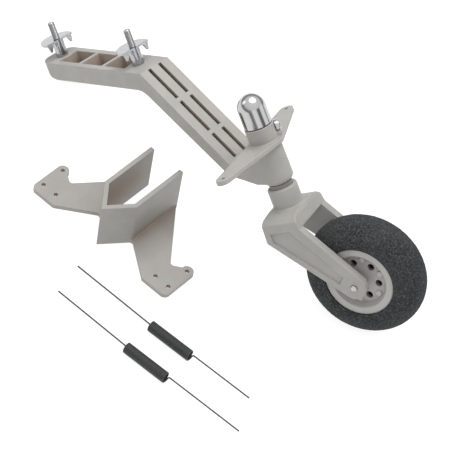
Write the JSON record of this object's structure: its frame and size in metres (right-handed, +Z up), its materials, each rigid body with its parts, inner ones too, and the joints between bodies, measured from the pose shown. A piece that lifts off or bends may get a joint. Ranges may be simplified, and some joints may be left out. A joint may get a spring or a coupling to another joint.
{
  "type": "model aircraft tailwheel assembly",
  "caption": "Steerable tailwheel kit for a model aircraft: moulded mounting arm with a castering fork, tiller and foam-tyred wheel, with its rudder bracket and steering springs.",
  "frame": {"origin": "on the table, at the bottom centre of the laid-out kit's box", "axes": "+X along the assembly from its mounting pad to its wheel, +Y away from the viewer across it, +Z up; the assembly stands on its tyre and the rounded toe of its pad, and the bracket and springs lie on the same table"},
  "size_m": [0.2072, 0.1112, 0.0756],
  "materials": {
    "nylon_grey": "moulded nylon, satin",
    "nylon_hub": "moulded nylon, satin",
    "nylon_pin": "natural nylon",
    "nylon_bracket": "moulded nylon, slightly warm",
    "foam_rubber": "closed-cell foam, speckled",
    "zinc_steel": "bright zinc plate",
    "shaft_steel": "ground",
    "chrome": "polished",
    "bronze": "sintered",
    "acetal_grey": "matte",
    "spring_steel": "black oxide"
  },
  "bodies": {
    "mount": {"mount_arm": "nylon_grey", "upper_bush": "bronze", "lower_bush": "bronze", "mount_bolts": "zinc_steel", "bolt_washers": "zinc_steel", "blind_nuts": "zinc_steel", "rudder_bracket": "nylon_bracket", "upper_spring": "spring_steel", "lower_spring": "spring_steel"},
    "steering": {"strut_shaft": "shaft_steel", "lower_thrust_washer": "acetal_grey", "upper_thrust_washer": "acetal_grey", "tiller_arm": "nylon_grey", "tiller_clamp_screw": "zinc_steel", "dome_cap": "chrome", "fork": "nylon_grey", "axle_pin": "zinc_steel"},
    "wheel": {"hub_half_near": "nylon_hub", "hub_half_far": "nylon_hub", "hub_pins": "nylon_pin", "tyre": "foam_rubber"}
  },
  "joints": [
    {"name": "steer", "type": "hinge", "parent": "mount", "child": "steering", "pos_m": [0.03381, 0.0259, 0.04515], "axis": [-0.6581, 0, 0.7529], "range_deg": [-73, 27]},
    {"name": "wheel_spin", "type": "hinge", "parent": "steering", "child": "wheel", "pos_m": [0.07895, 0.03465, 0.02483], "axis": [-0.2942, 0.9205, -0.2571], "continuous": true}
  ]
}
